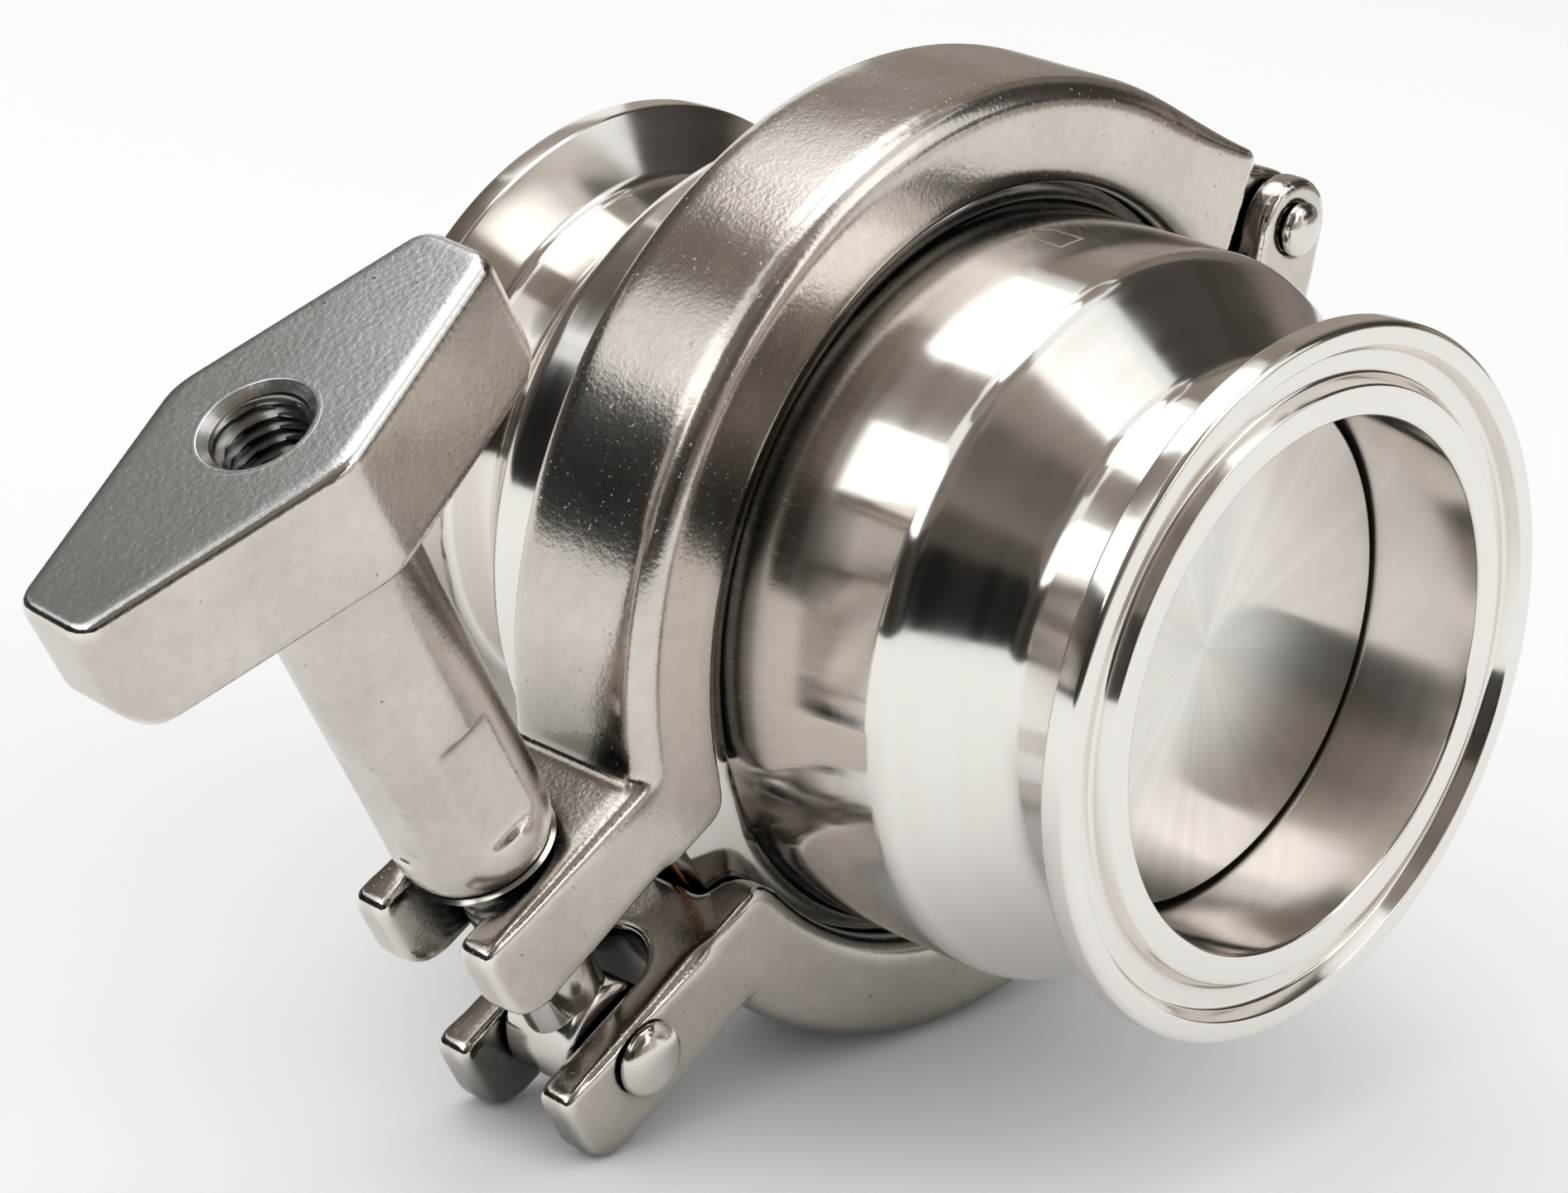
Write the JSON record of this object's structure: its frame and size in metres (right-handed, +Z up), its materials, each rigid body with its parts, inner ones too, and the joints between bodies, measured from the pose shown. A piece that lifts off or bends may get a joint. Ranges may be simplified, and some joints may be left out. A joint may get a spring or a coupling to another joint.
{
  "type": "spring non-return valve",
  "caption": "Hygienic spring non-return valve: turned steel bodies with clamp ferrules, joined by a hinged cast clamp with a swing bolt and a long wing nut.",
  "frame": {"origin": "middle of the valve's footprint, on the table on which it lies", "axes": "+X along the flow from inlet to outlet, +Y towards the clamp's ears, +Z up"},
  "size_m": [0.085, 0.1438, 0.0893],
  "materials": {
    "turned_steel": "turned and polished",
    "cast_steel": "cast and tumbled",
    "pin_steel": "polished",
    "spring_steel": "drawn wire",
    "black_rubber": "smooth",
    "amber_rubber": "smooth",
    "white_plastic": "satin"
  },
  "bodies": {
    "valve_body": {"inlet_body": "turned_steel", "outlet_body": "turned_steel", "body_gasket": "amber_rubber", "guide_spider": "turned_steel", "guide_bush": "white_plastic", "spring": "spring_steel", "clamp_lower_half": "cast_steel", "hinge_pin": "pin_steel", "bolt_pivot_pin": "pin_steel"},
    "poppet": {"poppet_disc": "turned_steel", "poppet_seal": "black_rubber", "poppet_stem": "turned_steel"},
    "upper_half": {"clamp_upper_half": "cast_steel"},
    "bolt": {"swing_bolt": "pin_steel"},
    "washer": {"nut_washer": "pin_steel"},
    "nut": {"wing_nut": "cast_steel"}
  },
  "joints": [
    {"name": "poppet_slide", "type": "slide", "parent": "valve_body", "child": "poppet", "axis": [1, 0, 0], "range_m": [0, 0.008], "stiffness_N_per_m": 400, "springref_m": -0.008, "deforming": ["spring"]},
    {"name": "wing_nut_turn", "type": "hinge", "parent": "washer", "child": "nut", "pos_m": [0.0013, 0.02846, 0.03193], "axis": [0, 0.5415, 0.8407], "range_deg": [0, 6480]},
    {"name": "nut_travel", "type": "slide", "parent": "bolt", "child": "washer", "axis": [0, 0.5415, 0.8407], "range_m": [0, 0.0361]},
    {"name": "bolt_swing", "type": "hinge", "parent": "valve_body", "child": "bolt", "pos_m": [0.0013, 0.0134, 0.00855], "axis": [-1, 0, 0], "range_deg": [0, 50.1]},
    {"name": "clamp_open", "type": "hinge", "parent": "valve_body", "child": "upper_half", "pos_m": [0.0013, -0.06713, 0.07042], "axis": [1, 0, 0], "range_deg": [0, 3.51]}
  ],
  "couplings": [
    {"joint": "nut_travel", "follows": "wing_nut_turn", "m_per_rad": 0.00031831},
    {"joint": "bolt_swing", "follows": "wing_nut_turn", "ratio": 0.007716},
    {"joint": "clamp_open", "follows": "wing_nut_turn", "ratio": 0.00054012}
  ]
}
